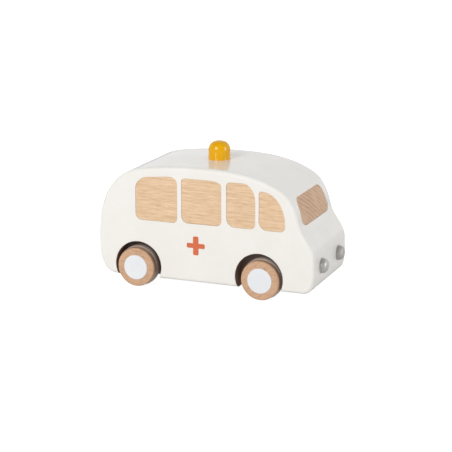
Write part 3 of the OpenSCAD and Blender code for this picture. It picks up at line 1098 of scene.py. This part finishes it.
class AMBULANCE_OT_make_headlights(bpy.types.Operator):
    """Make the two silver headlight domes with their shanks"""

    bl_idname = "ambulance.make_headlights"
    bl_label = "Make headlights"

    def execute(self, context):
        look = looks("lamps")
        colours = (opaque(look.silver), opaque(look.silver, 0.9))
        silver = tinted_paint("lamp_silver", colours, (0.48, 0.58), LACQUER_RELIEF, Metallic=0.6)
        for hand in HANDS:
            wide = radius(f"headlight_{hand}")
            shank = look.shank_wide / 2
            corners = [
                (0, -look.shank_long, 0),
                (shank, -look.shank_long, look.shank_round),
                (shank, 0, 0),
                *dome_corners(wide, 0, look.dome_high, look.dome_fullness),
            ]
            shape = turned(corners, lamp_seat(hand), Vector((1, 0, 0)))
            name = f"silver_headlight_{hand}"
            new_piece(name, shape, silver, "body", "lamp_silver", f"headlight_{hand}")
        return {"FINISHED"}


def plus_outline():
    """Rounded outline of a plus in the side view, quarter by quarter."""
    look = looks("plus")
    corners = []
    for x_way, z_way in ((1, 1), (-1, 1), (-1, -1), (1, -1)):
        end = (look.wide / 2, look.bar / 2, look.end_round)
        elbow = (look.upright / 2, look.bar / 2, look.inner_round)
        top = (look.upright / 2, look.tall / 2, look.end_round)
        quarter = [end, elbow, top] if x_way == z_way else [top, elbow, end]
        for x, z, soft in quarter:
            place = Vector((look.along + x_way * x, 0, look.height + z_way * z))
            corners.append((place, soft, soft))
    return soft_outline(corners, ROUND_STEPS)


class AMBULANCE_OT_make_plus_signs(bpy.types.Operator):
    """Make the thin orange plus on each side"""

    bl_idname = "ambulance.make_plus_signs"
    bl_label = "Make plus signs"

    def execute(self, context):
        look = looks("plus")
        colours = (opaque(look.orange), opaque(look.orange_deep))
        orange = tinted_paint("plus_orange", colours, (0.35, 0.5), BRUSHED_RELIEF)
        outline = plus_outline()
        for hand, side in HANDS.items():
            shape = skinned([flat_ring(outline, side, depth) for depth in (0, -look.thick)])
            crisp_edges(checked("plus", shape))
            plus = new_object(f"orange_plus_{hand}", shape, orange)
            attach(plus, "body")
        return {"FINISHED"}


class AMBULANCE_OT_set_stage(bpy.types.Operator):
    """Set up the camera, the pale floor and the soft light"""

    bl_idname = "ambulance.set_stage"
    bl_label = "Set stage"

    def execute(self, context):
        look = looks("studio")
        self.place_camera(context, look)
        self.lay_floor(look)
        self.light_sky(context, look)
        self.hang_softboxes(context, look)
        context.scene.view_settings.view_transform = "Standard"
        return {"FINISHED"}

    def place_camera(self, context, look):
        """Camera at the photograph's viewing angle."""
        camera = bpy.data.objects.new("camera", bpy.data.cameras.new("camera"))
        camera.data.lens = look.lens
        camera.location = look.camera_place
        camera.rotation_euler = (math.pi / 2 - look.camera_drop, 0, look.camera_turn)
        context.scene.collection.objects.link(camera)
        context.scene.camera = camera

    def lay_floor(self, look):
        """Wide pale floor that glows a little, so that shadows stay faint."""
        constants = {"Roughness": 0.9, "Base_Color": opaque(look.floor), "Emission_Strength": 1.0}
        material, tree, _ = new_material("pale_floor", **constants)
        seen = add(tree, "ShaderNodeLightPath").outputs["Is Camera Ray"]
        white = (1, 1, 1)
        glow = mixed(tree, seen, opaque(white, look.floor_lift), opaque(white, look.floor_glow))
        linked(material, {"Emission Color": glow})
        shape = bmesh.new()
        bmesh.ops.create_grid(shape, x_segments=2, y_segments=2, size=look.floor_width)
        new_object("floor", shape, material)

    def light_sky(self, context, look):
        """Bright sky behind the toy that dims overhead and towards the camera's side."""
        world = bpy.data.worlds.new("soft_sky")
        world.use_nodes = True
        tree = world.node_tree
        way = add(tree, "ShaderNodeTexCoord").outputs["Generated"]
        parts = add(tree, "ShaderNodeSeparateXYZ", {0: way}).outputs
        strength = ramped(tree, parts["Y"], -0.4, 0.4, look.sky_near, look.sky)
        dimmed = maths(tree, "MULTIPLY", strength, ramped(tree, parts["Z"], 0.35, 0.9, 1.0, look.sky_top))
        tree.links.new(dimmed, tree.nodes["Background"].inputs["Strength"])
        tree.nodes["Background"].inputs["Color"].default_value = (1, 1, 1, 1)
        context.scene.world = world

    def hang_softboxes(self, context, look):
        """Softboxes left of the camera and ahead of the toy."""
        target = (cad_low + cad_high) / 2
        for name, (turn, lift, width_share, power_share) in SOFTBOXES.items():
            light = bpy.data.lights.new(f"softbox_{name}", "AREA")
            light.shape = "SQUARE"
            light.size = look.softbox_width * width_share
            light.energy = look.softbox_power * power_share
            box = bpy.data.objects.new(f"softbox_{name}", light)
            swing = Euler((math.radians(-lift), 0, math.radians(turn))).to_matrix()
            way = swing @ Vector((0, -1, 0))
            box.location = target + look.softbox_far * way
            box.rotation_euler = way.to_track_quat("Z", "Y").to_euler()
            context.scene.collection.objects.link(box)


MAKERS = (
    AMBULANCE_OT_set_stage,
    AMBULANCE_OT_make_block,
    AMBULANCE_OT_make_side_windows,
    AMBULANCE_OT_make_screens,
    AMBULANCE_OT_make_wheels,
    AMBULANCE_OT_make_tyres,
    AMBULANCE_OT_make_hub_discs,
    AMBULANCE_OT_finish_axles,
    AMBULANCE_OT_make_beacon,
    AMBULANCE_OT_make_headlights,
    AMBULANCE_OT_make_plus_signs,
)


class AMBULANCE_PT_sidebar(bpy.types.Panel):
    """Lists the makers of the ambulance's pieces"""

    bl_idname = "AMBULANCE_PT_sidebar"
    bl_label = "Toy ambulance"
    bl_space_type = "VIEW_3D"
    bl_region_type = "UI"
    bl_category = "Ambulance"

    def draw(self, context):
        for maker in MAKERS:
            self.layout.operator(maker.bl_idname)
        for name, group in SETTINGS.items():
            box = self.layout.box()
            box.label(text=group.__doc__)
            for key in group.__annotations__:
                box.prop(getattr(context.scene, name), key)


CLASSES = (*SETTINGS.values(), *MAKERS, AMBULANCE_PT_sidebar)


def register():
    for item in CLASSES:
        bpy.utils.register_class(item)
    for name, group in SETTINGS.items():
        setattr(bpy.types.Scene, name, PointerProperty(type=group))


def unregister():
    for name in SETTINGS:
        delattr(bpy.types.Scene, name)
    for item in reversed(CLASSES):
        bpy.utils.unregister_class(item)


def main():
    register()
    for maker in MAKERS:
        family, action = maker.bl_idname.split(".")
        getattr(getattr(bpy.ops, family), action)()


if __name__ == "__main__":
    main()
